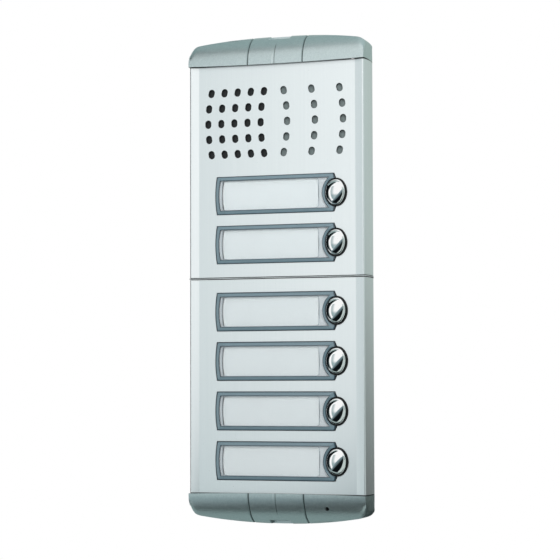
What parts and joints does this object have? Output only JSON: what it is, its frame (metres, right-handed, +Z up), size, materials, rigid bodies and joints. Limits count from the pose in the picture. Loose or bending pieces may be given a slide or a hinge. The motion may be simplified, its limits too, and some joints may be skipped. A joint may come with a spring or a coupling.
{
  "type": "door intercom panel",
  "caption": "Surface-mounted door entry panel: aluminium channel front with speaker holes, name windows beside domed chrome push buttons, closed by rounded end caps.",
  "frame": {"origin": "centre of the wall-hole pattern, on the wall plane behind the joint of the two front plates", "axes": "+X to the visitor's right, +Y into the wall, +Z up"},
  "size_m": [0.1024, 0.0248, 0.265],
  "materials": {
    "front_aluminium": "satin anodised, silver",
    "cap_metal": "satin silver-grey coat",
    "strip_plastic": "matt dark grey",
    "frame_plastic": "moulded dark grey",
    "carrier_plastic": "moulded grey",
    "insert_plastic": "grey",
    "mesh_fabric": "black woven dust screen",
    "gasket_rubber": "closed-cell foam",
    "speaker_steel": "zinc plated",
    "cone_plastic": "mylar cone",
    "magnet_ferrite": "ferrite",
    "circuit_board": "solder mask",
    "mat_silicone": "silicone",
    "lamp_plastic": "moulded lamp body",
    "terminal_plastic": "moulded",
    "trimmer_plastic": "moulded",
    "chip_plastic": "moulded",
    "can_aluminium": "drawn can",
    "rotor_brass": "machined",
    "zinc_screws": "zinc plated",
    "window_clear": "clear acrylic, blue-grey border",
    "card_white": "blank paper card",
    "ring_plastic": "black",
    "button_chrome": "polished chrome plate"
  },
  "bodies": {
    "panel": {"mounting_frame": "frame_plastic", "wall_gasket": "gasket_rubber", "upper_front_plate": "front_aluminium", "lower_front_plate": "front_aluminium", "plate_separator": "strip_plastic", "upper_carrier": "carrier_plastic", "lower_carrier": "carrier_plastic", "carrier_screws": "zinc_screws", "grille_insert": "insert_plastic", "speaker_mesh": "mesh_fabric", "speaker_gasket": "gasket_rubber", "speaker_basket": "speaker_steel", "speaker_cone": "cone_plastic", "speaker_magnet": "magnet_ferrite", "speaker_board": "circuit_board", "key_board": "circuit_board", "link_board": "circuit_board", "upper_key_mat": "mat_silicone", "lower_key_mat": "mat_silicone", "card_lamps": "lamp_plastic", "terminal_block": "terminal_plastic", "terminal_screws": "zinc_screws", "trimmer_bases": "trimmer_plastic", "amplifier_chip": "chip_plastic", "board_capacitors": "can_aluminium", "microphone": "can_aluminium", "microphone_boot": "mat_silicone", "name_window_1": "window_clear", "name_card_1": "card_white", "bezel_ring_1": "ring_plastic", "name_window_2": "window_clear", "name_card_2": "card_white", "bezel_ring_2": "ring_plastic", "name_window_3": "window_clear", "name_card_3": "card_white", "bezel_ring_3": "ring_plastic", "name_window_4": "window_clear", "name_card_4": "card_white", "bezel_ring_4": "ring_plastic", "name_window_5": "window_clear", "name_card_5": "card_white", "bezel_ring_5": "ring_plastic", "name_window_6": "window_clear", "name_card_6": "card_white", "bezel_ring_6": "ring_plastic"},
    "push_button_1": {"push_button_1": "button_chrome"},
    "push_button_2": {"push_button_2": "button_chrome"},
    "push_button_3": {"push_button_3": "button_chrome"},
    "push_button_4": {"push_button_4": "button_chrome"},
    "push_button_5": {"push_button_5": "button_chrome"},
    "push_button_6": {"push_button_6": "button_chrome"},
    "speaker_trimmer": {"speaker_trimmer": "rotor_brass"},
    "microphone_trimmer": {"microphone_trimmer": "rotor_brass"},
    "top_end_cap": {"top_end_cap": "cap_metal"},
    "bottom_end_cap": {"bottom_end_cap": "cap_metal"}
  },
  "joints": [
    {"name": "push_button_1_press", "type": "slide", "parent": "panel", "child": "push_button_1", "axis": [0, 1, 0], "range_m": [0, 0.0016], "stiffness_N_per_m": 1200, "springref_m": -0.0006, "deforming": ["upper_key_mat"]},
    {"name": "push_button_2_press", "type": "slide", "parent": "panel", "child": "push_button_2", "axis": [0, 1, 0], "range_m": [0, 0.0016], "stiffness_N_per_m": 1200, "springref_m": -0.0006, "deforming": ["upper_key_mat"]},
    {"name": "push_button_3_press", "type": "slide", "parent": "panel", "child": "push_button_3", "axis": [0, 1, 0], "range_m": [0, 0.0016], "stiffness_N_per_m": 1200, "springref_m": -0.0006, "deforming": ["lower_key_mat"]},
    {"name": "push_button_4_press", "type": "slide", "parent": "panel", "child": "push_button_4", "axis": [0, 1, 0], "range_m": [0, 0.0016], "stiffness_N_per_m": 1200, "springref_m": -0.0006, "deforming": ["lower_key_mat"]},
    {"name": "push_button_5_press", "type": "slide", "parent": "panel", "child": "push_button_5", "axis": [0, 1, 0], "range_m": [0, 0.0016], "stiffness_N_per_m": 1200, "springref_m": -0.0006, "deforming": ["lower_key_mat"]},
    {"name": "push_button_6_press", "type": "slide", "parent": "panel", "child": "push_button_6", "axis": [0, 1, 0], "range_m": [0, 0.0016], "stiffness_N_per_m": 1200, "springref_m": -0.0006, "deforming": ["lower_key_mat"]},
    {"name": "speaker_trimmer_turn", "type": "hinge", "parent": "panel", "child": "speaker_trimmer", "pos_m": [-0.006, -0.0105, 0.1197], "axis": [0, 1, 0], "range_deg": [-135, 135]},
    {"name": "microphone_trimmer_turn", "type": "hinge", "parent": "panel", "child": "microphone_trimmer", "pos_m": [0.006, -0.0105, 0.1197], "axis": [0, 1, 0], "range_deg": [-135, 135]},
    {"name": "top_end_cap_pull", "type": "slide", "parent": "panel", "child": "top_end_cap", "axis": [0, 0, 1], "range_m": [0, 0.02]},
    {"name": "bottom_end_cap_pull", "type": "slide", "parent": "panel", "child": "bottom_end_cap", "axis": [0, 0, -1], "range_m": [0, 0.02]}
  ]
}
